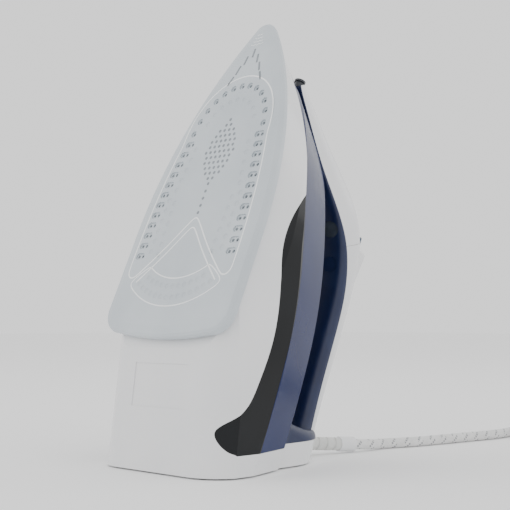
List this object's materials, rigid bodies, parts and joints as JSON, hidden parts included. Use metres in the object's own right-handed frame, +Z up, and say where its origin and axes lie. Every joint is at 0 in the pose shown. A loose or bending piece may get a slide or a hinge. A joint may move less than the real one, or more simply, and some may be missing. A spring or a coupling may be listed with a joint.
{
  "type": "steam iron",
  "caption": "Steam iron standing on its heel rest, with a perforated soleplate, translucent water tank, open handle, filling door, steam control and a braided mains cord.",
  "frame": {"origin": "middle of the flat heel rest that the iron stands on, at floor level", "axes": "+Z up from the floor towards the soleplate's tip, +X to the iron's right seen from behind the handle with the tip up, +Y from the soleplate towards the handle and cord"},
  "size_m": [0.1929, 0.4346, 0.2924],
  "materials": {
    "sole_face": "ceramic coated, satin",
    "cast_aluminium": "as cast",
    "sheath_steel": "matte",
    "screw_steel": "satin",
    "shield_plastic": "matte",
    "white_plastic": "gloss",
    "panel_plastic": "gloss",
    "tank_plastic": "gloss, translucent",
    "grip_plastic": "satin",
    "knob_plastic": "satin",
    "dark_plastic": "gloss",
    "button_plastic": "satin",
    "inner_plastic": "matte",
    "lens_plastic": "gloss",
    "hose_rubber": "matte",
    "guard_rubber": "matte",
    "braid": "woven",
    "plug_plastic": "matte",
    "blade_brass": "plated",
    "brass": "turned"
  },
  "bodies": {
    "iron": {"soleplate": "sole_face", "heating_element": "sheath_steel", "steam_chamber": "cast_aluminium", "chamber_cover": "cast_aluminium", "chamber_screws": "screw_steel", "shield_screws": "screw_steel", "heat_shield": "shield_plastic", "valve_seat": "brass", "thermostat": "sheath_steel", "thermal_fuse": "inner_plastic", "terminal_block": "inner_plastic", "mains_lead": "hose_rubber", "element_leads": "hose_rubber", "base_shell": "white_plastic", "side_panel_right": "panel_plastic", "side_panel_left": "panel_plastic", "water_tank": "tank_plastic", "nose_cover": "white_plastic", "fill_funnel": "inner_plastic", "handle_shell": "white_plastic", "handle_grip": "grip_plastic", "rear_cover": "white_plastic", "rear_cover_screw": "screw_steel", "fill_door_pin": "screw_steel", "spray_nozzle": "dark_plastic", "spray_tube": "hose_rubber", "pickup_tube": "hose_rubber", "burst_tube": "hose_rubber", "pump_body": "inner_plastic", "indicator_lens": "lens_plastic", "screw_cap": "grip_plastic", "mains_cord": "braid", "cord_coil": "braid", "cord_tie": "dark_plastic", "plug_body": "plug_plastic", "plug_pins": "blade_brass"},
    "dial": {"temperature_dial": "dark_plastic", "dial_spindle": "brass"},
    "steam_control": {"steam_knob": "knob_plastic", "valve_rod": "screw_steel"},
    "spray_push": {"spray_button": "button_plastic", "spray_piston": "inner_plastic"},
    "burst_push": {"burst_button": "button_plastic", "burst_piston": "inner_plastic"},
    "filling_door": {"fill_door": "dark_plastic"},
    "swivel_guard": {"cord_guard": "guard_rubber", "guard_collar": "white_plastic"}
  },
  "joints": [
    {"name": "dial_turn", "type": "hinge", "parent": "iron", "child": "dial", "pos_m": [0, 0.05846, 0.12787], "axis": [0, 0.9121, -0.4099], "range_deg": [0, 270]},
    {"name": "steam_turn", "type": "hinge", "parent": "iron", "child": "steam_control", "pos_m": [0, 0.09746, 0.18051], "axis": [0, 0.9121, -0.4099], "range_deg": [-20, 20]},
    {"name": "spray_press", "type": "slide", "parent": "iron", "child": "spray_push", "axis": [0, -0.8545, 0.5195], "range_m": [0, 0.0035], "stiffness_N_per_m": 400, "springref_m": -0.002},
    {"name": "burst_press", "type": "slide", "parent": "iron", "child": "burst_push", "axis": [0, -0.8545, 0.5195], "range_m": [0, 0.0035], "stiffness_N_per_m": 400, "springref_m": -0.002},
    {"name": "door_hinge", "type": "hinge", "parent": "iron", "child": "filling_door", "pos_m": [0, 0.08877, 0.21385], "axis": [1, 0, 0], "range_deg": [0, 95]},
    {"name": "guard_swivel", "type": "hinge", "parent": "iron", "child": "swivel_guard", "pos_m": [0, 0.057, 0.0096], "axis": [0.2074, 0.9758, -0.0698], "range_deg": [-90, 90]}
  ]
}
